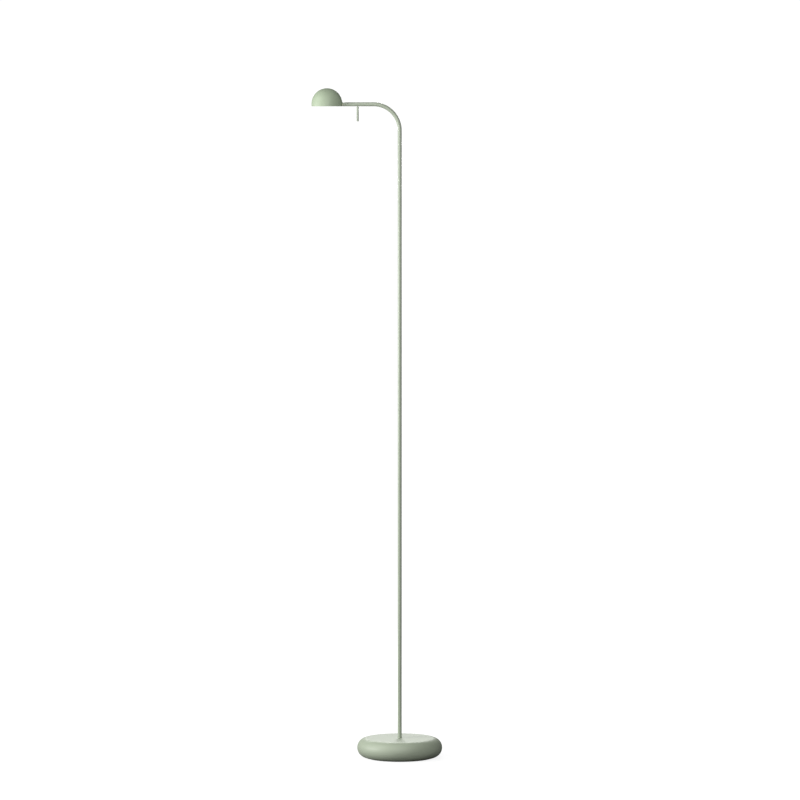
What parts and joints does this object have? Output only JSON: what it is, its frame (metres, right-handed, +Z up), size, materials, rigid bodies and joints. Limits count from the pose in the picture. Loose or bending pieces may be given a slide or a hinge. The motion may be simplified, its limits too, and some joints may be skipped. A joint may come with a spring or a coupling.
{
  "type": "adjustable arm floor lamp",
  "caption": "Slim floor lamp: heavy round-edged base, swivelling bent-tube stem and arm, small tilting dome head and a hanging switch lever.",
  "frame": {"origin": "centre of the base on the floor, on the stem's axis", "axes": "+Z up along the stem, arm and head towards -X, cord inlet at the rear towards +Y"},
  "size_m": [0.2432, 0.159, 1.25],
  "materials": {
    "casting_paint": "fine matte powder coat",
    "stem_paint": "fine matte powder coat",
    "lever_paint": "fine matte powder coat",
    "shade_paint": "fine matte powder coat",
    "bezel_paint": "matte moulding in the lamp's colour",
    "foot_rubber": "matte",
    "plate_zinc": "zinc plated, satin",
    "bronze": "sintered, matte",
    "screw_steel": "zinc plated",
    "spring_steel": "bright",
    "gland_plastic": "moulded",
    "driver_sheet": "plain sheet",
    "board_laminate": "solder mask",
    "block_plastic": "moulded",
    "terminal_brass": "machined",
    "wire_brown": "insulation",
    "wire_white": "insulation",
    "journal_brass": "machined",
    "switch_plastic": "moulded",
    "sink_aluminium": "die cast",
    "thermal_rubber": "soft pad",
    "led_substrate": "white solder mask",
    "led_phosphor": "silicone",
    "reflector_white": "white",
    "diffuser_opal": "opal"
  },
  "bodies": {
    "base": {"base_casting": "casting_paint", "foot_ring": "foot_rubber", "base_plate": "plate_zinc", "base_plate_screws": "screw_steel", "swivel_bush": "bronze", "friction_washer": "spring_steel", "retaining_plate": "plate_zinc", "retaining_screws": "screw_steel", "cable_gland": "gland_plastic", "gland_nut": "gland_plastic", "driver_case": "driver_sheet", "driver_lid": "driver_sheet", "driver_board": "board_laminate", "driver_screws": "screw_steel", "terminal_block": "block_plastic", "terminal_screws": "terminal_brass", "primary_wires": "wire_brown", "base_lead": "wire_white"},
    "stem": {"stem_tube": "stem_paint", "stem_collar": "screw_steel", "stop_pin": "spring_steel", "lamp_lead": "wire_white", "arm_journal": "journal_brass", "tilt_washer": "spring_steel", "journal_nut": "journal_brass", "switch_module": "switch_plastic", "lever_pivot": "spring_steel"},
    "lever": {"switch_lever": "lever_paint"},
    "head": {"shade": "shade_paint", "head_bracket": "shade_paint", "bracket_screws": "screw_steel", "heat_sink": "sink_aluminium", "head_screws": "screw_steel", "thermal_pad": "thermal_rubber", "led_board": "led_substrate", "led_chip": "led_phosphor", "reflector": "reflector_white", "diffuser": "diffuser_opal", "bezel_ring": "bezel_paint", "head_lead": "wire_white"}
  },
  "joints": [
    {"name": "stem_swivel", "type": "hinge", "parent": "base", "child": "stem", "pos_m": [0, 0, 0.03], "axis": [0, 0, 1], "range_deg": [-160, 160]},
    {"name": "head_tilt", "type": "hinge", "parent": "stem", "child": "head", "pos_m": [-0.108, 0, 1.22025], "axis": [1, 0, 0], "range_deg": [-80, 80]},
    {"name": "lever_tilt", "type": "hinge", "parent": "stem", "child": "lever", "pos_m": [-0.078, 0, 1.21925], "axis": [0, 1, 0], "range_deg": [-8, 8], "stiffness_Nm_per_rad": 0.02}
  ]
}
